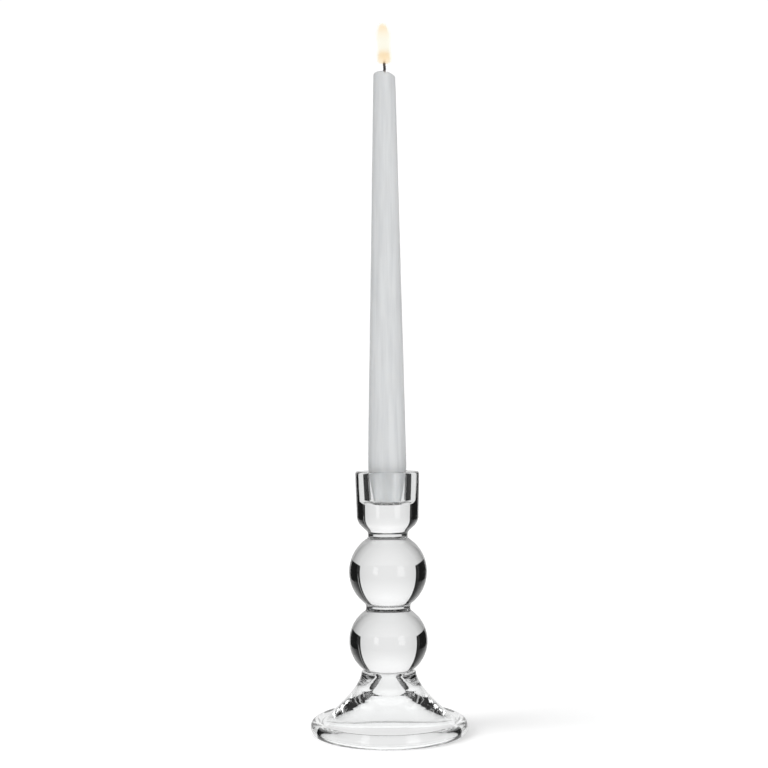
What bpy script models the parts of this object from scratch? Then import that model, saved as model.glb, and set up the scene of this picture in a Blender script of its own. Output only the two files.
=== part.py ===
"""A clear glass candlestick with a taper candle that lifts out of its cup.

Metres, +Z up. The origin is the centre of the foot's underside, on the surface that it stands on.
The glass is four hot-worked sections stacked on one axis: foot, lower ball, upper ball and cup.
"""

import math

import bpy

# Driving dimensions, in metres.
GLASS_HEIGHT = 0.1493
FOOT_RADIUS = 0.0450
CUP_RADIUS = 0.0186
BALL_RADIUS = 0.0226
CANDLE_LENGTH = 0.2510
CANDLE_RADIUS_AT_RIM = 0.01112
CANDLE_RADIUS_AT_TOP = 0.0064
WICK_RADIUS = 0.0008
WICK_LENGTH_ABOVE_WAX = 0.0092

# Heights and radii of the joints between the glass sections.
FOOT_JOINT_Z = 0.0352
FOOT_JOINT_RADIUS = 0.0145
BALL_JOINT_Z = 0.0704
BALL_JOINT_RADIUS = 0.0128
CUP_JOINT_Z = 0.1120
CUP_JOINT_RADIUS = 0.0116
GAP = 0.0003  # kept between neighbouring sections, and between the wax and the glass

# The balls. The lower one was pressed a little flatter while it was hot.
LOWER_BALL_Z = 0.0520
LOWER_BALL_SQUASH = 0.94
UPPER_BALL_Z = 0.0908
UPPER_BALL_SQUASH = 1.0
NECK_FILLET = 0.0011

# The foot: a collar, a concave flare, a rolled bead at the edge and a hollow underneath.
COLLAR_RADIUS = 0.0157
COLLAR_ROUND = 0.0015
BEAD_HEIGHT = 0.0074
BEAD_TOP_RADIUS = 0.0414
BEAD_START = 140  # where the bead's arc leaves the flare, in degrees from outward
CONTACT_OUTER_RADIUS = 0.0432
CONTACT_INNER_RADIUS = 0.0406
HOLLOW_MOUTH_RADIUS = 0.0384
HOLLOW_MOUTH_Z = 0.0030
HOLLOW_TOP_Z = 0.0334
FLARE_NOTCH = (0.0390, 0.0059)  # (radius, height) where the flare meets the bead
FLARE_LEADS = ((0.0159, 0.0275), (0.0250, 0.0170))  # how the flare leaves the collar and nears the bead
HOLLOW_SHOULDER = (0.0125, 0.0210)  # where the wide cone of the hollow turns into its narrow top
HOLLOW_CONE_LEADS = ((0.0383, 0.0054), (0.0300, 0.0094))
HOLLOW_THROAT_LEADS = ((0.0095, 0.0224), (0.0065, 0.0270))
HOLLOW_APEX_RADIUS = 0.0046

# The cup and its socket.
CUP_KNEE = (0.0180, 0.0110)  # (radius, height above the joint) where the wall turns in
CUP_KNEE_LEADS = ((0.0172, 0.0050), (0.0122, 0.0044))
CUP_NECK_HEIGHT = 0.0014
RIM_ROUND = 0.0014
SOCKET_MOUTH_RADIUS = 0.0115
SOCKET_LIP_ROUND = 0.0008
SOCKET_FLOOR_RADIUS = 0.0108
SOCKET_CORNER = 0.0030
SOCKET_DEPTH = 0.0191

# The candle's foot end is tapered to wedge in the socket.
CANDLE_BASE_RADIUS = 0.0080
CANDLE_BASE_CHAMFER = 0.0016
CANDLE_PLUG_LENGTH = 0.0215
CANDLE_PLUG_LEADS = ((0.0108, 0.0165), (0.0088, 0.0075))  # (radius, height above the base)
SHOULDER_ROUND = 0.0019
SHOULDER_HEIGHT = 0.0025
WICK_HOLE_RADIUS = WICK_RADIUS + GAP

SEGMENTS = 48
SOCKET_FLOOR_Z = GLASS_HEIGHT - SOCKET_DEPTH

# The wick's sideways lean above the wax, as (offset along X, share of the free length).
WICK_BENDS = ((0.0, 0.0), (0.0004, 0.3), (0.0001, 0.6), (-0.0004, 0.8), (-0.0002, 1.0))


def clear_scene():
    for obj in list(bpy.data.objects):
        bpy.data.objects.remove(obj, do_unlink=True)


def collection_named(name):
    made = bpy.data.collections.new(name)
    bpy.context.scene.collection.children.link(made)
    return made


def material(name, color, roughness, transmission=0.0, ior=1.5, subsurface=0.0):
    made = bpy.data.materials.new(name)
    made.use_nodes = True
    shader = made.node_tree.nodes["Principled BSDF"]
    shader.inputs["Base Color"].default_value = (*color, 1.0)
    shader.inputs["Metallic"].default_value = 0.0
    shader.inputs["Roughness"].default_value = roughness
    shader.inputs["Transmission Weight"].default_value = transmission
    shader.inputs["IOR"].default_value = ior
    shader.inputs["Subsurface Weight"].default_value = subsurface
    return made


def arc(centre, radii, start, end, steps):
    """Points on an ellipse's arc, as (radius, height). Angles in degrees: 0 is outward and 90 is up."""
    points = []
    for step in range(steps + 1):
        angle = math.radians(start + (end - start) * step / steps)
        points.append((centre[0] + radii[0] * math.cos(angle), centre[1] + radii[1] * math.sin(angle)))
    return points


def bezier(start, lead_out, lead_in, end, steps):
    """Points along a cubic curve, as (radius, height)."""
    points = []
    for step in range(steps + 1):
        t = step / steps
        weights = ((1 - t) ** 3, 3 * t * (1 - t) ** 2, 3 * t * t * (1 - t), t**3)
        corners = (start, lead_out, lead_in, end)
        points.append(tuple(sum(w * c[axis] for w, c in zip(weights, corners)) for axis in (0, 1)))
    return points


def joined(*runs):
    """One outline from several runs of points, without the point that each shares with the last."""
    outline = []
    for run in runs:
        for point in run:
            if not outline or math.dist(point, outline[-1]) > 1e-6:
                outline.append(point)
    return outline


def turned(name, outline, finish, collection, closed=False):
    """A solid of revolution. The outline runs down its outer side, from the top to the bottom."""
    count = len(outline)
    edges = [(i, i + 1) for i in range(count - 1)]
    if closed:
        edges.append((count - 1, 0))
    mesh = bpy.data.meshes.new(name)
    mesh.from_pydata([(radius, 0.0, height) for radius, height in outline], edges, [])
    mesh.materials.append(finish)
    obj = bpy.data.objects.new(name, mesh)
    collection.objects.link(obj)
    screw = obj.modifiers.new("Turn", "SCREW")
    screw.axis = "Z"
    screw.angle = math.tau
    screw.steps = SEGMENTS
    screw.render_steps = SEGMENTS
    screw.use_smooth_shade = True
    screw.use_merge_vertices = True
    screw.merge_threshold = 0.00001
    return obj


def foot_outline():
    """Collar, flare, bead, the flat ring that it stands on, and the hollow up to its apex."""
    top = FOOT_JOINT_Z - GAP / 2
    collar_centre = (COLLAR_RADIUS - COLLAR_ROUND, top - COLLAR_ROUND)
    collar = arc(collar_centre, (COLLAR_ROUND, COLLAR_ROUND), 80, 0, 4)
    flare = bezier(collar[-1], *FLARE_LEADS, FLARE_NOTCH, 10)
    bead_z = BEAD_HEIGHT / 2
    bead_top = arc((BEAD_TOP_RADIUS, bead_z), (FOOT_RADIUS - BEAD_TOP_RADIUS, bead_z), BEAD_START, 0, 7)
    bead_side = arc((CONTACT_OUTER_RADIUS, bead_z), (FOOT_RADIUS - CONTACT_OUTER_RADIUS, bead_z), 0, -90, 4)
    inner_radii = (CONTACT_INNER_RADIUS - HOLLOW_MOUTH_RADIUS, HOLLOW_MOUTH_Z)
    inner_side = arc((CONTACT_INNER_RADIUS, HOLLOW_MOUTH_Z), inner_radii, -90, -180, 3)
    cone = bezier(inner_side[-1], *HOLLOW_CONE_LEADS, HOLLOW_SHOULDER, 7)
    throat_end = (HOLLOW_APEX_RADIUS, HOLLOW_TOP_Z - 0.0010)
    throat = bezier(HOLLOW_SHOULDER, *HOLLOW_THROAT_LEADS, throat_end, 4)
    apex_leads = ((HOLLOW_APEX_RADIUS * 0.85, HOLLOW_TOP_Z), (HOLLOW_APEX_RADIUS * 0.4, HOLLOW_TOP_Z))
    apex = bezier(throat_end, *apex_leads, (0.0, HOLLOW_TOP_Z), 3)
    return joined([(0.0, top)], collar, flare, bead_top, bead_side, inner_side, cone, throat, apex)


def neck_fillet(plane, neck_radius, ball_point, tangent, steps=3):
    """From the joint's plane, straight along the neck at first, into the ball's own slope."""
    reach = abs(plane - ball_point[1]) / 2
    heading = math.copysign(reach, ball_point[1] - plane)
    lead_in = (ball_point[0] - tangent[0] * reach, ball_point[1] - tangent[1] * reach)
    return bezier((neck_radius, plane), (neck_radius, plane + heading), lead_in, ball_point, steps)


def ball_outline(squash, top, top_radius, bottom, bottom_radius):
    """A ball about its own centre, between the planes of its two joints."""
    height = BALL_RADIUS * squash
    first = math.degrees(math.acos((top_radius + NECK_FILLET) / BALL_RADIUS))
    last = -math.degrees(math.acos((bottom_radius + NECK_FILLET) / BALL_RADIUS))
    surface = arc((0.0, 0.0), (BALL_RADIUS, height), first, last, 16)

    def slope(angle, sign):
        """The unit tangent at this angle, heading from the neck onto the ball."""
        across = math.sin(math.radians(angle)) * BALL_RADIUS * sign
        along = -math.cos(math.radians(angle)) * height * sign
        length = math.hypot(across, along)
        return (across / length, along / length)

    upper = neck_fillet(top, top_radius, surface[0], slope(first, 1))
    lower = neck_fillet(bottom, bottom_radius, surface[-1], slope(last, -1))
    return joined([(0.0, top)], upper, surface, reversed(lower), [(0.0, bottom)])


def cup_outline():
    """The cup above its joint, from the socket's floor over the rim and down to its flat underside."""
    base = GAP / 2
    top = GLASS_HEIGHT - CUP_JOINT_Z
    floor = SOCKET_FLOOR_Z - CUP_JOINT_Z
    corner_centre = (SOCKET_FLOOR_RADIUS - SOCKET_CORNER, floor + SOCKET_CORNER)
    corner = arc(corner_centre, (SOCKET_CORNER, SOCKET_CORNER), -90, 0, 5)
    lip_centre = (SOCKET_MOUTH_RADIUS + SOCKET_LIP_ROUND, top - SOCKET_LIP_ROUND)
    lip = arc(lip_centre, (SOCKET_LIP_ROUND, SOCKET_LIP_ROUND), 180, 90, 3)
    rim = arc((CUP_RADIUS - RIM_ROUND, top - RIM_ROUND), (RIM_ROUND, RIM_ROUND), 90, 0, 4)
    bottom = bezier(CUP_KNEE, *CUP_KNEE_LEADS, (CUP_JOINT_RADIUS, CUP_NECK_HEIGHT), 8)
    under = [(CUP_JOINT_RADIUS, base), (0.0, base)]
    return joined([(0.0, floor)], corner, lip, rim, bottom, under)


def candle_outline():
    """The wax above the socket's floor: a rounded top, the long taper, the tapered foot end and the hole."""
    base = GAP
    top = base + CANDLE_LENGTH
    crown_centre = (CANDLE_RADIUS_AT_TOP - SHOULDER_ROUND, top - SHOULDER_HEIGHT)
    crown = arc(crown_centre, (SHOULDER_ROUND, SHOULDER_HEIGHT), 90, 0, 5)
    plug_top = (CANDLE_RADIUS_AT_RIM, base + CANDLE_PLUG_LENGTH)
    plug_foot = (CANDLE_BASE_RADIUS, base + CANDLE_BASE_CHAMFER)
    plug_leads = [(radius, base + height) for radius, height in CANDLE_PLUG_LEADS]
    plug = bezier(plug_top, *plug_leads, plug_foot, 6)
    foot = [(CANDLE_BASE_RADIUS - CANDLE_BASE_CHAMFER, base)]
    hole = [(WICK_HOLE_RADIUS, base), (WICK_HOLE_RADIUS, top)]
    return joined(crown, plug, foot, hole)


def wick(finish, collection):
    """A cotton cord through the wax, with its free end a little bent."""
    foot = GAP + 0.0002
    wax_top = GAP + CANDLE_LENGTH
    curve = bpy.data.curves.new("wick", "CURVE")
    curve.dimensions = "3D"
    curve.bevel_depth = WICK_RADIUS
    curve.bevel_resolution = 2
    curve.use_fill_caps = True
    points = [(0.0, foot)]
    points += [(0.0, foot + (wax_top - foot) * share) for share in (0.3, 0.65, 0.97)]
    points += [(lean, wax_top + WICK_LENGTH_ABOVE_WAX * share) for lean, share in WICK_BENDS]
    spline = curve.splines.new("POLY")
    spline.points.add(len(points) - 1)
    for point, (lean, height) in zip(spline.points, points):
        point.co = (lean, 0.0, height, 1.0)
    obj = bpy.data.objects.new("wick", curve)
    obj.data.materials.append(finish)
    collection.objects.link(obj)
    return obj


def empty_at(name, height, collection):
    made = bpy.data.objects.new(name, None)
    made.location = (0.0, 0.0, height)
    made.empty_display_size = 0.02
    collection.objects.link(made)
    return made


def main():
    clear_scene()
    collection = collection_named("glass_candlestick")
    glass = material("clear_glass", (0.96, 0.98, 0.98), 0.02, transmission=1.0, ior=1.5)
    wax = material("white_wax", (0.80, 0.81, 0.80), 0.45, ior=1.44, subsurface=0.3)
    cotton = material("charred_cotton", (0.035, 0.03, 0.028), 0.95)

    candlestick = empty_at("candlestick", 0.0, collection)
    foot = turned("foot", foot_outline(), glass, collection)
    foot.parent = candlestick

    lower_outline = ball_outline(
        LOWER_BALL_SQUASH,
        BALL_JOINT_Z - GAP / 2 - LOWER_BALL_Z,
        BALL_JOINT_RADIUS,
        FOOT_JOINT_Z + GAP / 2 - LOWER_BALL_Z,
        FOOT_JOINT_RADIUS,
    )
    lower_ball = turned("lower_ball", lower_outline, glass, collection)
    lower_ball.location.z = LOWER_BALL_Z
    lower_ball.parent = candlestick

    upper_outline = ball_outline(
        UPPER_BALL_SQUASH,
        CUP_JOINT_Z - GAP / 2 - UPPER_BALL_Z,
        CUP_JOINT_RADIUS,
        BALL_JOINT_Z + GAP / 2 - UPPER_BALL_Z,
        BALL_JOINT_RADIUS,
    )
    upper_ball = turned("upper_ball", upper_outline, glass, collection)
    upper_ball.location.z = UPPER_BALL_Z
    upper_ball.parent = candlestick

    cup = turned("candle_cup", cup_outline(), glass, collection)
    cup.location.z = CUP_JOINT_Z
    cup.parent = candlestick

    candle_lift = empty_at("candle_lift", SOCKET_FLOOR_Z, collection)
    candle = turned("taper_candle", candle_outline(), wax, collection, closed=True)
    candle.parent = candle_lift
    wick(cotton, collection).parent = candle_lift


main()
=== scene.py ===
"""The looks of the glass candlestick: clear hand-made glass, a lit taper candle, a pale floor and soft light.

Metres, +Z up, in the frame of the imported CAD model. Outlines are (radius, height) pairs.
"""

import math

import bpy
import numpy as np
from mathutils import Euler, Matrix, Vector


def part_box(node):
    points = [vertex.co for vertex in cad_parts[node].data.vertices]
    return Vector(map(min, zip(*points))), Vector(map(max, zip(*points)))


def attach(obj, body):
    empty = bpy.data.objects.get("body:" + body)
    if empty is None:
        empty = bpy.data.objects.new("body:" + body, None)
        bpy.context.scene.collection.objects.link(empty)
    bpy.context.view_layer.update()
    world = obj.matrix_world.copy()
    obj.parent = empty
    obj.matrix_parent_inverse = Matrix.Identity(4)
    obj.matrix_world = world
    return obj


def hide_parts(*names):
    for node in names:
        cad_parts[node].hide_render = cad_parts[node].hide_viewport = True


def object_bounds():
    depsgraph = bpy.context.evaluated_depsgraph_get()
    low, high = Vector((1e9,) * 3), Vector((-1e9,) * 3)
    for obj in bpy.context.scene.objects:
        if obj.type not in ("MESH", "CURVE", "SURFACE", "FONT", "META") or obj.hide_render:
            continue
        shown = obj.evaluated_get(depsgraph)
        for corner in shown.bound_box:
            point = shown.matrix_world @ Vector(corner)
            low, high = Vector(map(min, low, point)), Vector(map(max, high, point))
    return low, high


MM = 0.001

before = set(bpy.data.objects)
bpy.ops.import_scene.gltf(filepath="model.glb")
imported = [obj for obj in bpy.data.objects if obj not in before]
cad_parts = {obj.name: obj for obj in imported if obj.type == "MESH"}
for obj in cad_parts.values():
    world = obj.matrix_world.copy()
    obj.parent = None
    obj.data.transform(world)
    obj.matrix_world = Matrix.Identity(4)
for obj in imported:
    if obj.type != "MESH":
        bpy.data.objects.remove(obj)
cad_low, cad_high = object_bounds()


# ---------------------------------------------------------------------------------------------
# Measures taken from the CAD nodes


def node_points(node):
    return np.array([v.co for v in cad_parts[node].data.vertices], float)


def girth(node):
    """(radius, height) of the widest ring of a node."""
    points = node_points(node)
    radii = np.hypot(points[:, 0], points[:, 1])
    widest = radii > radii.max() - 0.02 * MM
    return float(radii.max()), float(points[widest, 2].mean())


def ring_radius(node, height):
    """The radius of a node's outer surface at one of its flat ends."""
    points = node_points(node)
    near = np.abs(points[:, 2] - height) < 0.05 * MM
    return float(np.hypot(points[near, 0], points[near, 1]).max())


def seam_between(below, above):
    """(height, radius) of the joint between two glass sections, in the middle of the CAD gap."""
    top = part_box(below)[1].z
    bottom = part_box(above)[0].z
    return (top + bottom) / 2, ring_radius(above, bottom)


FOOT_RADIUS, _ = girth("foot")
LOWER_RADIUS, LOWER_CENTRE = girth("lower_ball")
UPPER_RADIUS, UPPER_CENTRE = girth("upper_ball")
CUP_RADIUS, _ = girth("candle_cup")
CUP_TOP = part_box("candle_cup")[1].z
FOOT_SEAM, FOOT_NECK = seam_between("foot", "lower_ball")
BALL_SEAM, BALL_NECK = seam_between("lower_ball", "upper_ball")
CUP_SEAM, CUP_NECK = seam_between("upper_ball", "candle_cup")
CANDLE_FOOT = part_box("taper_candle")[0].z
CANDLE_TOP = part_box("taper_candle")[1].z
WICK_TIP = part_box("wick")[1].z
FLAME_FOOT = CANDLE_TOP + 5.6 * MM
FLAME_TIP = cad_high[2] + 0.03 * (cad_high[2] - cad_low[2]) + 9.5 * MM
FLAME_SPAN = FLAME_TIP - FLAME_FOOT


# ---------------------------------------------------------------------------------------------
# Outlines


def arc(centre, radii, start, end, steps):
    """Points on an ellipse's arc. Angles in degrees: 0 is outward and 90 is up."""
    angles = np.radians(np.linspace(start, end, steps + 1))
    return [(centre[0] + radii[0] * math.cos(a), centre[1] + radii[1] * math.sin(a)) for a in angles]


def bezier(start, lead_out, lead_in, end, steps):
    points = []
    for t in np.linspace(0.0, 1.0, steps + 1):
        weights = ((1 - t) ** 3, 3 * t * (1 - t) ** 2, 3 * t * t * (1 - t), t**3)
        corners = (start, lead_out, lead_in, end)
        points.append(tuple(sum(w * c[axis] for w, c in zip(weights, corners)) for axis in (0, 1)))
    return points


def joined(*runs):
    """One outline from several runs of points, without the point that each shares with the last."""
    outline = []
    for run in runs:
        for point in run:
            if not outline or math.dist(point, outline[-1]) > 1e-6:
                outline.append(tuple(point))
    return outline


def mm(*points):
    return [(radius * MM, height * MM) for radius, height in points]


# ---------------------------------------------------------------------------------------------
# Meshes

# Lengths in metres that are shorter than this count as nothing.
TINY = 1e-7

# From this radius outward, turned surfaces have their full unevenness.
FULL_WOBBLE_RADIUS = 8 * MM


def hand_wobble(angle, height):
    """How far hand-made glass strays from round, in metres.

    It depends on the place only, so that the pieces still meet at their seams.
    """
    oval = 0.10 * math.sin(2 * angle + 0.7 + 35.0 * height)
    lobes = 0.06 * math.sin(3 * angle + 1.9 - 60.0 * height)
    return (oval + lobes) * MM


def smooth_object(name, vertices, faces, materials, crease):
    """A smooth-shaded object with sharp edges where its faces turn by more than the crease, in degrees."""
    mesh = bpy.data.meshes.new(name)
    mesh.from_pydata(vertices, [], faces)
    for material in materials:
        mesh.materials.append(material)
    mesh.shade_smooth()
    mesh.set_sharp_from_angle(angle=math.radians(crease))
    obj = bpy.data.objects.new(name, mesh)
    bpy.context.scene.collection.objects.link(obj)
    return obj


def ring_points(radius, height, segments, wobble):
    """One ring of a turned mesh, or a single point where the outline meets the axis."""
    if radius < TINY:
        return [(0.0, 0.0, height)]
    points = []
    for step in range(segments):
        angle = math.tau * step / segments
        away = radius
        if wobble:
            away += wobble(angle, height) * min(1.0, radius / FULL_WOBBLE_RADIUS)
        points.append((away * math.cos(angle), away * math.sin(angle), height))
    return points


def band_faces(upper, lower, segments):
    """The faces between two rings of vertex numbers, of which one may be a single point."""
    faces = []
    for step in range(segments):
        after = (step + 1) % segments
        if len(upper) == 1:
            faces.append((upper[0], lower[step], lower[after]))
        elif len(lower) == 1:
            faces.append((upper[step], lower[0], upper[after]))
        else:
            faces.append((upper[step], lower[step], lower[after], upper[after]))
    return faces


def turned(name, outline, segments, materials, wobble=None, seams=()):
    """A solid of revolution about Z. The outline runs from the axis to the axis, down the outer side.

    seams are heights: the flat faces there get the second material.
    """
    vertices, rings = [], []
    for radius, height in outline:
        points = ring_points(radius, height, segments, wobble)
        rings.append(range(len(vertices), len(vertices) + len(points)))
        vertices += points
    faces, kinds = [], []
    for upper, lower in zip(rings[:-1], rings[1:]):
        heights = (vertices[upper[0]][2], vertices[lower[0]][2])
        flat = any(all(abs(height - seam) < TINY for height in heights) for seam in seams)
        band = band_faces(upper, lower, segments)
        faces += band
        kinds += [int(flat)] * len(band)
    obj = smooth_object(name, vertices, faces, materials, crease=35)
    obj.data.polygons.foreach_set("material_index", kinds)
    obj.data.update()
    return obj


def reshape(obj, change):
    """Moves every vertex of a mesh to change(x, y, z)."""
    for vertex in obj.data.vertices:
        vertex.co = change(*vertex.co)
    obj.data.update()


# ---------------------------------------------------------------------------------------------
# Materials

# Colours along a share from 0 to 1, as (share, linear colour).
WAX_COLORS = ((0.30, (0.560, 0.571, 0.580)), (0.62, (0.635, 0.647, 0.653)))
WICK_COLORS = ((0.0, (0.80, 0.79, 0.76)), (0.10, (0.55, 0.50, 0.46)), (0.20, (0.050, 0.044, 0.046)),
               (0.75, (0.085, 0.066, 0.060)), (1.0, (0.20, 0.15, 0.11)))
EDGE_COLORS = ((0.0, (1.0, 0.76, 0.46)), (0.12, (1.0, 0.86, 0.60)), (0.26, (1.0, 0.96, 0.80)),
               (1.0, (1.0, 0.97, 0.84)))
HEART_COLORS = ((0.0, (1.0, 0.84, 0.62)), (0.09, (1.0, 0.84, 0.60)), (0.20, (0.90, 0.62, 0.31)),
                (0.36, (0.99, 0.97, 0.84)), (0.56, (0.99, 0.975, 0.85)), (0.70, (1.0, 0.88, 0.68)),
                (0.85, (1.0, 0.74, 0.42)), (1.0, (1.0, 0.84, 0.60)))
STREAK_STRETCH = 0.06
WAX_GLOW = 0.06
EMBER_GLOW = 1.1


class Graph:
    """Short names for what a node tree is built from."""

    def __init__(self, tree):
        self.nodes = tree.nodes
        self.links = tree.links

    def feed(self, sockets, givens):
        """Sets each socket to the number given for it, or links it to the output given for it."""
        for socket, given in zip(sockets, givens):
            if isinstance(given, (int, float)):
                socket.default_value = given
            else:
                self.links.new(given, socket)

    def value(self, operation, *inputs):
        node = self.nodes.new("ShaderNodeMath")
        node.operation = operation
        self.feed(node.inputs, inputs)
        return node.outputs[0]

    def ramp(self, given, start, end, low=0.0, high=1.0):
        """Goes from low to high while given goes from start to end, and stays level outside them."""
        node = self.nodes.new("ShaderNodeMapRange")
        self.links.new(given, node.inputs["Value"])
        for name, number in zip(("From Min", "From Max", "To Min", "To Max"), (start, end, low, high)):
            node.inputs[name].default_value = number
        return node.outputs[0]

    def mix(self, factor, low, high):
        node = self.nodes.new("ShaderNodeMix")
        node.data_type = "FLOAT"
        self.feed((node.inputs[0], node.inputs[2], node.inputs[3]), (factor, low, high))
        return node.outputs[0]

    def place(self):
        """The shaded point in its object's own frame."""
        return self.nodes.new("ShaderNodeTexCoord").outputs["Object"]

    def axes(self, vector):
        split = self.nodes.new("ShaderNodeSeparateXYZ")
        self.links.new(vector, split.inputs[0])
        return split.outputs

    def noise(self, place, scale, detail):
        texture = self.nodes.new("ShaderNodeTexNoise")
        texture.inputs["Scale"].default_value = scale
        texture.inputs["Detail"].default_value = detail
        self.links.new(place, texture.inputs["Vector"])
        return texture.outputs["Fac"]

    def colors(self, share, stops):
        node = self.nodes.new("ShaderNodeValToRGB")
        elements = node.color_ramp.elements
        for element, (position, color) in zip(elements, (stops[0], stops[-1])):
            element.position = position
            element.color = (*color, 1.0)
        for position, color in stops[1:-1]:
            elements.new(position).color = (*color, 1.0)
        self.links.new(share, node.inputs["Fac"])
        return node.outputs["Color"]

    def bump(self, shader, height, strength, depth):
        node = self.nodes.new("ShaderNodeBump")
        node.inputs["Strength"].default_value = strength
        node.inputs["Distance"].default_value = depth
        self.links.new(height, node.inputs["Height"])
        self.links.new(node.outputs["Normal"], shader.inputs["Normal"])


def new_material(name):
    material = bpy.data.materials.new(name)
    material.use_nodes = True
    graph = Graph(material.node_tree)
    return material, graph, graph.nodes["Principled BSDF"]


def glass_material():
    """Clear glass with the faint unevenness of a fire-finished surface."""
    material, graph, shader = new_material("clear_glass")
    shader.inputs["Base Color"].default_value = (0.985, 0.99, 0.99, 1.0)
    shader.inputs["Transmission Weight"].default_value = 1.0
    shader.inputs["IOR"].default_value = 1.5
    shader.inputs["Roughness"].default_value = 0.0
    swell = graph.noise(graph.place(), scale=60.0, detail=1.0)
    graph.bump(shader, swell, strength=0.25, depth=0.15 * MM)
    return material


def fused_material():
    """The inside of a hot joint, where two sections of glass became one: light goes straight through."""
    material, graph, shader = new_material("fused_glass")
    graph.nodes.remove(shader)
    clear = graph.nodes.new("ShaderNodeBsdfTransparent")
    graph.links.new(clear.outputs["BSDF"], graph.nodes["Material Output"].inputs["Surface"])
    return material


def wax_material():
    """White wax with faint streaks along the candle and a soft sheen.

    Its foot end glows weakly, for the light that the glass of the cup gathers there.
    """
    material, graph, shader = new_material("candle_wax")
    place = graph.place()
    stretch = graph.nodes.new("ShaderNodeMapping")
    stretch.inputs["Scale"].default_value = (1.0, 1.0, STREAK_STRETCH)
    graph.links.new(place, stretch.inputs["Vector"])
    streaks = graph.noise(stretch.outputs["Vector"], scale=420.0, detail=4.0)
    grain = graph.noise(place, scale=1400.0, detail=2.0)
    graph.links.new(graph.colors(streaks, WAX_COLORS), shader.inputs["Base Color"])
    graph.links.new(graph.ramp(grain, 0.3, 0.7, 0.34, 0.46), shader.inputs["Roughness"])
    relief = graph.value("ADD", graph.value("MULTIPLY", grain, 0.3), streaks)
    graph.bump(shader, relief, strength=0.35, depth=0.10 * MM)
    shader.inputs["IOR"].default_value = 1.44
    shader.inputs["Subsurface Weight"].default_value = 0.4
    shader.inputs["Subsurface Radius"].default_value = (1.0, 0.9, 0.8)
    shader.inputs["Subsurface Scale"].default_value = 3 * MM
    shader.inputs["Emission Color"].default_value = (0.96, 1.0, 1.0, 1.0)
    gathered = graph.ramp(graph.axes(place)["Z"], CUP_TOP - 12 * MM, CUP_TOP + 2 * MM, WAX_GLOW, 0.0)
    graph.links.new(gathered, shader.inputs["Emission Strength"])
    return material


def wick_material():
    """Cotton: pale where wax still soaks it, then charred, with a glowing end."""
    material, graph, shader = new_material("burnt_wick")
    place = graph.place()
    ash = graph.noise(place, scale=2600.0, detail=4.0)
    ragged = graph.value("MULTIPLY", graph.value("SUBTRACT", ash, 0.5), 2.0 * MM)
    height = graph.value("ADD", graph.axes(place)["Z"], ragged)
    burnt = graph.colors(graph.ramp(height, CANDLE_TOP - 0.4 * MM, WICK_TIP), WICK_COLORS)
    graph.links.new(burnt, shader.inputs["Base Color"])
    shader.inputs["Roughness"].default_value = 0.95
    shader.inputs["Emission Color"].default_value = (1.0, 0.62, 0.30, 1.0)
    ember = graph.ramp(height, FLAME_FOOT + 0.3 * MM, WICK_TIP, 0.0, EMBER_GLOW)
    graph.links.new(ember, shader.inputs["Emission Strength"])
    graph.bump(shader, ash, strength=0.8, depth=0.10 * MM)
    return material


def flame_material(name, cover, stops):
    """One see-through shell of the flame. stops are colours along the flame's height."""
    material, graph, shader = new_material(name)
    graph.nodes.remove(shader)
    share = graph.ramp(graph.axes(graph.place())["Z"], FLAME_FOOT, FLAME_TIP)
    glow = graph.nodes.new("ShaderNodeEmission")
    graph.links.new(graph.colors(share, stops), glow.inputs["Color"])
    clear = graph.nodes.new("ShaderNodeBsdfTransparent")
    blend = graph.nodes.new("ShaderNodeMixShader")
    blend.inputs["Fac"].default_value = cover
    graph.links.new(clear.outputs["BSDF"], blend.inputs[1])
    graph.links.new(glow.outputs["Emission"], blend.inputs[2])
    graph.links.new(blend.outputs["Shader"], graph.nodes["Material Output"].inputs["Surface"])
    return material


# ---------------------------------------------------------------------------------------------
# Glass pieces

GLASS = glass_material()
FUSED = fused_material()
GLASS_SEGMENTS = 192
LOWER_BALL_SQUASH = 0.94
NECK_FILLET = 1.5 * MM
SOCKET_DEPTH = 19.1 * MM

# Chill lines, where the hot glass first met the mould, and tooling rings: (height, relief, width) in mm.
FOOT_LINES = ((21.2, 0.035, 0.50), (17.0, 0.045, 0.60), (31.2, 0.07, 0.35), (29.2, 0.06, 0.40))


def foot_outline():
    """Collar, flare, bead, the ring that it stands on, and the hollow up to its apex."""
    collar = arc((14.2 * MM, FOOT_SEAM - 1.6 * MM), (1.5 * MM, 1.5 * MM), 80, 0, 8)
    flare = bezier(collar[-1], *mm((15.9, 27.5), (25.0, 17.0), (39.0, 5.9)), 150)
    bead_z = 3.7 * MM
    bead_top_radius = 41.4 * MM
    ring_outer = 43.2 * MM
    ring_inner = 40.6 * MM
    bead_top = arc((bead_top_radius, bead_z), (FOOT_RADIUS - bead_top_radius, bead_z), 140, 0, 28)
    bead_side = arc((ring_outer, bead_z), (FOOT_RADIUS - ring_outer, bead_z), 0, -90, 16)
    inner_side = arc((ring_inner, 3.0 * MM), (2.2 * MM, 3.0 * MM), -90, -180, 12)
    cone = bezier(inner_side[-1], *mm((38.3, 5.4), (30.0, 9.4), (12.5, 21.0)), 90)
    throat = bezier(cone[-1], *mm((9.5, 22.4), (6.5, 27.0), (4.6, 32.4)), 24)
    apex = bezier(throat[-1], *mm((4.0, 33.4), (1.7, 33.4), (0.0, 33.4)), 8)
    rim = (FOOT_NECK, FOOT_SEAM)
    return joined([(0.0, FOOT_SEAM), rim], collar, flare, bead_top, bead_side, inner_side, cone, throat, apex)


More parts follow.
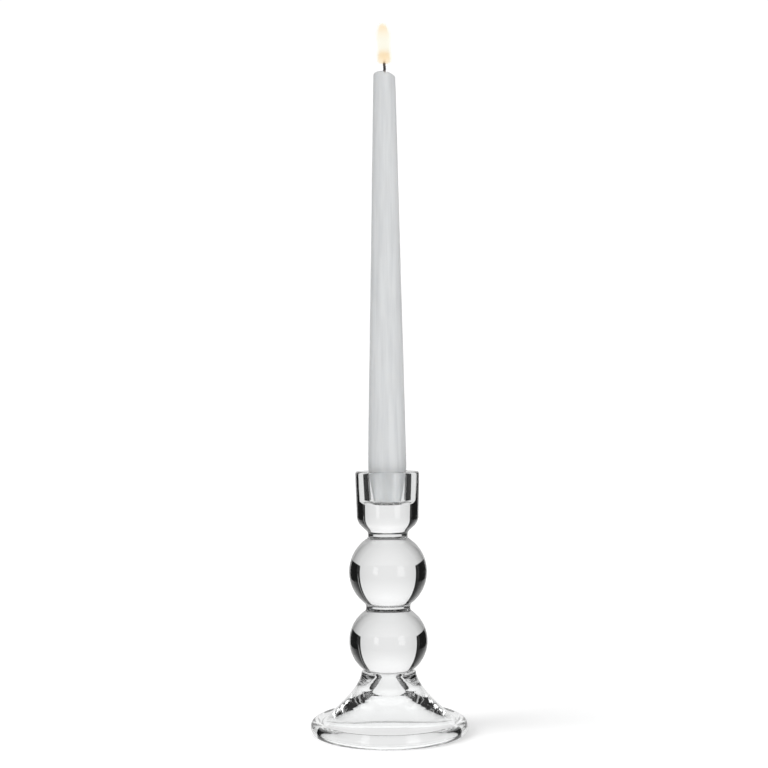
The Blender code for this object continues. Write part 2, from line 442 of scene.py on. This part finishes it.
def ball_outline(centre, radius, half_height, top, top_neck, bottom, bottom_neck):
    """A ball between two necks, with a small fillet into each."""
    first = math.degrees(math.acos((top_neck + NECK_FILLET) / radius))
    last = -math.degrees(math.acos((bottom_neck + NECK_FILLET) / radius))
    surface = arc((0.0, centre), (radius, half_height), first, last, 100)

    def run_in(neck, plane, point, angle, sign):
        """The fillet from the neck's rim to a point of the ball, which it meets along the ball's slope."""
        across = math.sin(math.radians(angle)) * radius * sign
        along = -math.cos(math.radians(angle)) * half_height * sign
        length = math.hypot(across, along)
        reach = abs(plane - point[1]) / 2
        heading = math.copysign(reach, point[1] - plane)
        lead_in = (point[0] - across / length * reach, point[1] - along / length * reach)
        return bezier((neck, plane), (neck, plane + heading), lead_in, point, 8)

    upper = run_in(top_neck, top, surface[0], first, 1)
    lower = run_in(bottom_neck, bottom, surface[-1], last, -1)
    return joined([(0.0, top)], upper, surface, reversed(lower), [(0.0, bottom)])


def cup_outline():
    """The socket from its floor to its lip, then the rim, the side and the bottom of the cup."""
    floor = CUP_TOP - SOCKET_DEPTH
    corner_round = 3.0 * MM
    lip_round = 0.9 * MM
    rim_round = 1.4 * MM
    corner = arc((7.8 * MM, floor + corner_round), (corner_round, corner_round), -90, 0, 10)
    wall_leads = ((11.0 * MM, floor + 8 * MM), (11.3 * MM, floor + 13 * MM))
    wall = bezier(corner[-1], *wall_leads, (11.4 * MM, floor + 18.2 * MM), 24)
    lip = arc((12.3 * MM, CUP_TOP - lip_round), (lip_round, lip_round), 180, 90, 6)
    rim = arc((CUP_RADIUS - rim_round, CUP_TOP - rim_round), (rim_round, rim_round), 90, 0, 10)
    knee = (18.0 * MM, CUP_SEAM + 11.0 * MM)
    side_leads = ((CUP_RADIUS - 0.05 * MM, CUP_TOP - 10 * MM), (18.1 * MM, CUP_TOP - 18 * MM))
    side = bezier(rim[-1], *side_leads, knee, 40)
    bottom_leads = ((17.2 * MM, CUP_SEAM + 5.0 * MM), (12.2 * MM, CUP_SEAM + 4.4 * MM))
    bottom = bezier(knee, *bottom_leads, (CUP_NECK, CUP_SEAM + 1.4 * MM), 30)
    under = [(CUP_NECK, CUP_SEAM), (0.0, CUP_SEAM)]
    return joined([(0.0, floor)], corner, wall, lip, rim, side, bottom, under)


def foot_wobble(angle, height):
    """The foot's surface strays from round like the rest and has the lines and rings as well."""
    drift = 0.45 * math.sin(4 * angle + 0.6) + 0.25 * math.sin(11 * angle)
    lines = 0.0
    for line, relief, width in FOOT_LINES:
        off = (height / MM - line - drift) / width
        lines += relief * math.exp(-off * off) * (0.6 + 0.4 * math.sin(6 * angle + line))
    return hand_wobble(angle, height) + lines * MM


def glass_piece(name, node, outline, seams, wobble=hand_wobble):
    piece = turned(name, outline, GLASS_SEGMENTS, (GLASS, FUSED), wobble, seams)
    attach(piece, "candlestick")
    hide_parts(node)


def make_glass():
    glass_piece("glass_foot", "foot", foot_outline(), (FOOT_SEAM,), foot_wobble)
    half_height = LOWER_RADIUS * LOWER_BALL_SQUASH
    lower = ball_outline(LOWER_CENTRE, LOWER_RADIUS, half_height, BALL_SEAM, BALL_NECK, FOOT_SEAM, FOOT_NECK)
    glass_piece("glass_lower_ball", "lower_ball", lower, (FOOT_SEAM, BALL_SEAM))
    upper = ball_outline(UPPER_CENTRE, UPPER_RADIUS, UPPER_RADIUS, CUP_SEAM, CUP_NECK, BALL_SEAM, BALL_NECK)
    glass_piece("glass_upper_ball", "upper_ball", upper, (BALL_SEAM, CUP_SEAM))
    glass_piece("glass_cup", "candle_cup", cup_outline(), (CUP_SEAM,))


# ---------------------------------------------------------------------------------------------
# Candle, wick and flame

WAX = wax_material()
WICK = wick_material()
WAX_SEGMENTS = 128
FLAME_SEGMENTS = 64
RIM_CANDLE_RADIUS = 11.12 * MM
TOP_CANDLE_RADIUS = 6.4 * MM

# Two runs of wax that have set below the rim: (place across, width, length).
WAX_RUNS = ((-3.4 * MM, 0.7 * MM, 16 * MM), (2.3 * MM, 0.9 * MM, 22 * MM))

# The flame's outline, as (radius in mm, share of its height), from the tip down.
FLAME_PROFILE = ((1.1, 0.982), (2.3, 0.955), (3.2, 0.90), (3.9, 0.83), (4.4, 0.74), (4.55, 0.66),
                 (4.35, 0.56), (4.15, 0.46), (4.3, 0.33), (4.6, 0.20), (4.3, 0.09), (3.2, 0.025))

# The flame's shells, from the outside in: name, scale of the outline, how much each covers, colours, and how
# far its foot and its tip lie inside the flame's, as shares of the flame's height.
FLAME_SHELLS = (
    ("flame_halo_wide", 1.40, 0.012, EDGE_COLORS, -0.08, 0.0),
    ("flame_halo", 1.15, 0.04, EDGE_COLORS, -0.02, 0.002),
    ("flame_edge", 1.0, 0.16, EDGE_COLORS, 0.0, 0.01),
    ("flame_mantle", 0.86, 0.20, EDGE_COLORS, 0.01, 0.03),
    ("flame_body", 0.72, 0.42, HEART_COLORS, 0.02, 0.05),
    ("flame_heart", 0.52, 0.55, HEART_COLORS, 0.06, 0.09),
)


def candle_outline():
    """A melted crown with a small pool round the wick, the long taper and the tapered end in the socket."""
    pool_floor = CANDLE_TOP - 1.3 * MM
    pool_leads = ((3.2 * MM, pool_floor), (3.6 * MM, CANDLE_TOP))
    pool = bezier((0.0, pool_floor), *pool_leads, (5.5 * MM, CANDLE_TOP), 14)
    crown = arc((TOP_CANDLE_RADIUS - 0.9 * MM, CANDLE_TOP - 1.4 * MM), (0.9 * MM, 1.4 * MM), 90, 0, 12)
    plug_top = (RIM_CANDLE_RADIUS, CANDLE_FOOT + 21.5 * MM)
    side = [
        (np.interp(z, (plug_top[1], crown[-1][1]), (RIM_CANDLE_RADIUS, TOP_CANDLE_RADIUS)), z)
        for z in np.linspace(crown[-1][1], plug_top[1], 60)
    ]
    plug_leads = ((10.8 * MM, CANDLE_FOOT + 16.5 * MM), (8.8 * MM, CANDLE_FOOT + 7.5 * MM))
    plug = bezier(plug_top, *plug_leads, (8.0 * MM, CANDLE_FOOT + 1.8 * MM), 24)
    base = arc((6.2 * MM, CANDLE_FOOT + 1.8 * MM), (1.8 * MM, 1.8 * MM), 0, -90, 8)
    return joined(pool, crown, side, plug, base, [(0.0, CANDLE_FOOT)])


def wax_wobble(angle, height):
    """The slight unevenness of a hand-dipped taper."""
    slow = 0.035 * math.sin(2 * angle + 40.0 * height) + 0.025 * math.sin(5 * angle + 1.0 + 90.0 * height)
    return (slow + 0.02 * math.sin(9 * angle + 210.0 * height)) * MM


def melt_lean(x, y, z):
    """The rim has melted lower on the right and dips in front of the wick. Runs of wax have set below it."""
    below = max(0.0, CANDLE_TOP - z)
    near_top = max(0.0, 1.0 - below / (12 * MM)) ** 2
    slope = max(0.0, min(1.0, (x - 0.3 * MM) / (5.6 * MM)))
    dip = math.exp(-(((x - 0.5 * MM) / (0.8 * MM)) ** 2)) if y < -2.5 * MM else 0.0
    ridge = 0.0
    if y < 0.0:
        for centre, width, length in WAX_RUNS:
            ridge += math.exp(-(((x - centre) / width) ** 2)) * max(0.0, 1.0 - below / length)
    swell = 1.0 + 0.045 * ridge
    return (x * swell, y * swell, z - (1.8 * slope + 1.3 * dip) * MM * near_top)


def make_taper():
    taper = turned("wax_taper", candle_outline(), WAX_SEGMENTS, (WAX,), wobble=wax_wobble)
    reshape(taper, melt_lean)
    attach(taper, "candle")
    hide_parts("taper_candle")


def wick_lean(z):
    """How far the free end of the wick bends to one side at a height."""
    share = max(0.0, (z - CANDLE_TOP) / (WICK_TIP - CANDLE_TOP))
    return np.interp(share, (0.0, 0.3, 0.6, 0.8, 1.0), (0.0, 0.25, 0.0, 0.15, 0.3)) * MM


def wick_strand(strand, foot, steps, around):
    """The rings of one of the wick's three strands, from its foot up."""
    twist_pitch = 4.5 * MM
    frayed_end = 1.2 * MM
    off_axis = 0.42 * MM
    points = []
    for step in range(steps + 1):
        z = foot + (WICK_TIP - foot) * step / steps
        turn = math.tau * (strand / 3 + (z - foot) / twist_pitch)
        fray = 1.0 - 0.35 * max(0.0, (z - (WICK_TIP - frayed_end)) / frayed_end)
        x = wick_lean(z) + off_axis * math.cos(turn) * fray
        y = off_axis * math.sin(turn) * fray
        thick = (0.44 + 0.05 * math.sin(9.0 * step / steps * math.tau + strand)) * MM * fray
        for spoke in range(around):
            angle = math.tau * spoke / around
            points.append((x + thick * math.cos(angle), y + thick * math.sin(angle), z))
    return points


def make_wick():
    """Three strands of cotton twisted together."""
    vertices, faces = [], []
    around = 10
    steps = 60
    for strand in range(3):
        start = len(vertices)
        vertices += wick_strand(strand, CANDLE_TOP - 2.0 * MM, steps, around)
        for step in range(steps):
            below = start + step * around
            above = below + around
            for spoke in range(around):
                after = (spoke + 1) % around
                faces.append((below + spoke, below + after, above + after, above + spoke))
        faces.append(tuple(start + spoke for spoke in reversed(range(around))))
        faces.append(tuple(start + steps * around + spoke for spoke in range(around)))
    wick = smooth_object("twisted_wick", vertices, faces, (WICK,), crease=50)
    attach(wick, "candle")
    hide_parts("wick")


def flame_lean(x, y, z):
    """The flame's upper part leans a little to the left."""
    share = (z - FLAME_FOOT) / FLAME_SPAN
    return (x - 1.0 * MM * share * share, y, z)


def flame_outline(scale, foot, tip):
    """A smooth curve through the flame's profile, with its ends on the axis."""
    height = tip - foot
    profile = [(radius * scale * MM, foot + height * share) for radius, share in FLAME_PROFILE]
    corners = [(0.0, tip), *profile, (0.0, foot)]
    befores = [corners[0], *corners[:-2]]
    afters = [*corners[2:], corners[-1]]
    outline = [corners[0]]
    for before, start, end, after in zip(befores, corners[:-1], corners[1:], afters):
        lead_out = tuple(start[k] + (end[k] - before[k]) / 6 for k in (0, 1))
        lead_in = tuple(end[k] - (after[k] - start[k]) / 6 for k in (0, 1))
        outline += bezier(start, lead_out, lead_in, end, 5)[1:]
    return [(max(0.0, radius), z) for radius, z in outline]


def make_flame():
    """Nested shells, so that the flame is faint at its edge and full in the middle."""
    for name, scale, cover, stops, foot_share, tip_share in FLAME_SHELLS:
        foot = FLAME_FOOT + foot_share * FLAME_SPAN
        tip = FLAME_TIP - tip_share * FLAME_SPAN
        material = flame_material(name, cover, stops)
        shell = turned(name, flame_outline(scale, foot, tip), FLAME_SEGMENTS, (material,))
        reshape(shell, flame_lean)
        shell.visible_shadow = False
        shell.visible_diffuse = False
        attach(shell, "candle")


def make_candle():
    make_taper()
    make_wick()
    make_flame()


# ---------------------------------------------------------------------------------------------
# Stage: camera, floor, studio surroundings, lights

CAMERA_DISTANCE = 0.740
CAMERA_HEIGHT = 0.1777
CAMERA_PITCH = 1.71
CAMERA_YAW = 0.117
CAMERA_ROLL = -0.43
CAMERA_LENS = 59.8
FLOOR_REACH = 6.0
FLOOR_GLOW = 0.20

# Levels of the studio, where 1 is white.
SEEN_BACKDROP = 1.05
EVEN_LIGHT = 0.62
DARK_ROOM = 0.008
SLIT_LIGHT = 0.30
CEILING_LIGHT = 0.22

# How many times brighter the studio is where it is seen through the foot's hollow.
HOLLOW_BOOST = 1.18

# The windows stand this far from the point of the stem that they face.
WINDOW_DISTANCE = 1.0
WINDOWS_FACE = Vector((0.0, 0.0, 0.09))


def make_camera():
    data = bpy.data.cameras.new("camera")
    data.lens = CAMERA_LENS
    data.sensor_width = 36.0
    camera = bpy.data.objects.new("camera", data)
    camera.location = (0.0, -CAMERA_DISTANCE, CAMERA_HEIGHT)
    tilt = Euler((math.radians(90 + CAMERA_PITCH), 0.0, math.radians(CAMERA_YAW)), "XYZ").to_matrix()
    roll = Euler((0.0, 0.0, math.radians(CAMERA_ROLL)), "XYZ").to_matrix()
    camera.rotation_euler = (tilt @ roll).to_euler()
    bpy.context.scene.collection.objects.link(camera)
    bpy.context.scene.camera = camera


def make_floor():
    """A pale floor. The glass shows the studio floor of the world instead, which reaches further."""
    material, graph, shader = new_material("pale_floor")
    shader.inputs["Base Color"].default_value = (0.90, 0.90, 0.90, 1.0)
    shader.inputs["Roughness"].default_value = 1.0
    shader.inputs["Specular IOR Level"].default_value = 0.0
    shader.inputs["Emission Color"].default_value = (1.0, 1.0, 1.0, 1.0)
    path = graph.nodes.new("ShaderNodeLightPath")
    glow = graph.value("MULTIPLY", path.outputs["Is Camera Ray"], FLOOR_GLOW)
    graph.links.new(glow, shader.inputs["Emission Strength"])
    reach = FLOOR_REACH
    corners = [(-reach, -reach, 0), (reach, -reach, 0), (reach, reach, 0), (-reach, reach, 0)]
    mesh = bpy.data.meshes.new("floor")
    mesh.from_pydata(corners, [], [(0, 1, 2, 3)])
    mesh.materials.append(material)
    floor = bpy.data.objects.new("floor", mesh)
    floor.visible_transmission = False
    floor.visible_glossy = False
    bpy.context.scene.collection.objects.link(floor)
    return floor


def bright_studio(do, z, side):
    """The backdrop and the floor in front of it, darker to the sides and nearly dark straight up and down.
    The floor's darkening straight down is painted shade, with a painted shadow of the candlestick under it.
    """
    side_squared = do.value("MULTIPLY", side, side)
    backdrop = do.ramp(z, 0.02, 0.40, 0.88, 1.06)
    backdrop = do.value("SUBTRACT", backdrop, do.value("MULTIPLY", side_squared, 0.45))
    backdrop = do.value("MULTIPLY", backdrop, do.ramp(z, 0.78, 0.92, 1.0, 0.04))
    # Painted shade: the studio floor gets darker the steeper it lies below, and nearly dark right under the
    # candlestick.
    floor = do.ramp(z, -0.75, -0.25, 0.80, 0.92)
    floor = do.value("SUBTRACT", floor, do.value("MULTIPLY", side_squared, 0.60))
    floor = do.value("MULTIPLY", floor, do.ramp(z, -0.92, -0.70, 0.10, 1.0))
    return do.mix(do.ramp(z, -0.215, -0.195), floor, backdrop)


def room_beside(do, z, side):
    """1 in the dark room on each side of the backdrop, above the slanting edge of the studio floor."""
    edge = do.value("SUBTRACT", -0.023, do.value("MULTIPLY", side, 0.3325))
    above_edge = do.ramp(do.value("SUBTRACT", z, edge), 0.0, 0.012)
    past_backdrop = do.ramp(side, 0.549, 0.558)
    before_side = do.ramp(side, 0.975, 0.965)
    return do.value("MULTIPLY", do.value("MULTIPLY", above_edge, past_backdrop), before_side)


def room_level(do, z, side, right):
    """The room's own light: a dim ceiling, and a slit of light on the right."""
    ceiling = do.value("MULTIPLY", do.ramp(z, 0.12, 0.40, 0.0, CEILING_LIGHT), do.ramp(side, 0.64, 0.85))
    in_slit = do.value("MULTIPLY", do.ramp(right, 0.600, 0.603), do.ramp(right, 0.622, 0.619))
    slit = do.value("MULTIPLY", do.value("MULTIPLY", in_slit, do.ramp(z, -0.05, 0.05)), SLIT_LIGHT)
    return do.value("ADD", do.value("ADD", ceiling, slit), DARK_ROOM)


def make_world():
    """A white studio. The glass shows a bright backdrop, a grey floor and a dark room on each side of it.

    x, y and z are those of a direction: x to the right, y away from the camera, z up. right goes from -1,
    all the way to the left, to 1, all the way to the right. side is the same without its sign.
    """
    world = bpy.data.worlds.new("studio")
    world.use_nodes = True
    bpy.context.scene.world = world
    do = Graph(world.node_tree)
    x, y, z = do.axes(do.nodes.new("ShaderNodeTexCoord").outputs["Generated"])
    level = do.value("SQRT", do.value("ADD", do.value("MULTIPLY", x, x), do.value("MULTIPLY", y, y)))
    right = do.value("DIVIDE", x, do.value("MAXIMUM", level, 0.001))
    side = do.value("ABSOLUTE", right)
    ahead = do.value("GREATER_THAN", y, 0.0)
    in_room = do.value("MULTIPLY", room_beside(do, z, side), ahead)
    seen = do.mix(in_room, bright_studio(do, z, side), room_level(do, z, side, right))

    # What the glass mirrors from the camera's side of the studio is nearly dark.
    path = do.nodes.new("ShaderNodeLightPath")
    mirrored = do.value("MULTIPLY", seen, do.ramp(y, -0.05, 0.15, 0.05, 1.0))
    through_glass = do.mix(do.ramp(path.outputs["Glossy Depth"], 0.0, 1.0), seen, mirrored)

    # Matt surfaces get an even light.
    lit = do.mix(do.ramp(path.outputs["Diffuse Depth"], 0.0, 1.0), through_glass, EVEN_LIGHT)
    through_hollow = do.ramp(path.outputs["Transmission Depth"], 2.0, 4.0, 1.0, HOLLOW_BOOST)
    lit = do.value("MULTIPLY", lit, through_hollow)

    background = do.nodes["Background"]
    background.inputs["Color"].default_value = (1, 1, 1, 1)
    final = do.mix(path.outputs["Is Camera Ray"], lit, SEEN_BACKDROP)
    do.links.new(final, background.inputs["Strength"])


def direction(bearing, rise):
    """The way to a light, in degrees. A bearing of 0 is the camera's side, and right of it is positive."""
    turn = math.radians(bearing)
    lift = math.radians(rise)
    return Vector((math.sin(turn) * math.cos(lift), -math.cos(turn) * math.cos(lift), math.sin(lift)))


def area_light(name, bearing, rise, size, radiance):
    """A soft box, like a window, that faces the stem. Its size is (width, height)."""
    width, height = size
    data = bpy.data.lights.new(name, "AREA")
    data.shape = "RECTANGLE"
    data.size = width
    data.size_y = height
    data.energy = radiance * math.pi * width * height
    light = bpy.data.objects.new(name, data)
    way = direction(bearing, rise)
    light.location = WINDOWS_FACE + way * WINDOW_DISTANCE
    light.rotation_euler = (-way).to_track_quat("-Z", "Y").to_euler()
    light.visible_camera = False
    bpy.context.scene.collection.objects.link(light)
    return light


def sun_light(name, bearing, rise, spread, strength):
    """Soft light from far away, which the glass doesn't show."""
    data = bpy.data.lights.new(name, "SUN")
    data.angle = math.radians(spread)
    data.energy = strength
    light = bpy.data.objects.new(name, data)
    light.rotation_euler = (-direction(bearing, rise)).to_track_quat("-Z", "Y").to_euler()
    light.visible_glossy = False
    light.visible_transmission = False
    bpy.context.scene.collection.objects.link(light)
    return light


def make_lights(floor):
    """Two windows and a fill that only the candle blocks, and a light for the shadow on the floor."""
    left = area_light("window_left", bearing=-37.0, rise=5.0, size=(0.23, 0.40), radiance=2.5)
    right = area_light("window_right", bearing=37.5, rise=5.0, size=(0.37, 0.50), radiance=2.1)
    fill = sun_light("front_fill", bearing=0.0, rise=10.0, spread=60.0, strength=0.85)
    blockers = bpy.data.collections.new("blocks_the_soft_lights")
    for name in ("wax_taper", "twisted_wick"):
        blockers.objects.link(bpy.data.objects[name])
    for light in (left, right, fill):
        light.light_linking.blocker_collection = blockers
    key = sun_light("floor_key", bearing=-72.0, rise=32.0, spread=40.0, strength=1.94)
    only_floor = bpy.data.collections.new("lit_by_floor_key")
    only_floor.objects.link(floor)
    key.light_linking.receiver_collection = only_floor


make_camera()
make_glass()
make_candle()
floor = make_floor()
make_world()
make_lights(floor)

bpy.context.scene.view_settings.view_transform = "Standard"
bpy.context.scene.cycles.max_bounces = 32
bpy.context.scene.cycles.transmission_bounces = 32
bpy.context.scene.cycles.transparent_max_bounces = 32
bpy.context.scene.cycles.glossy_bounces = 16
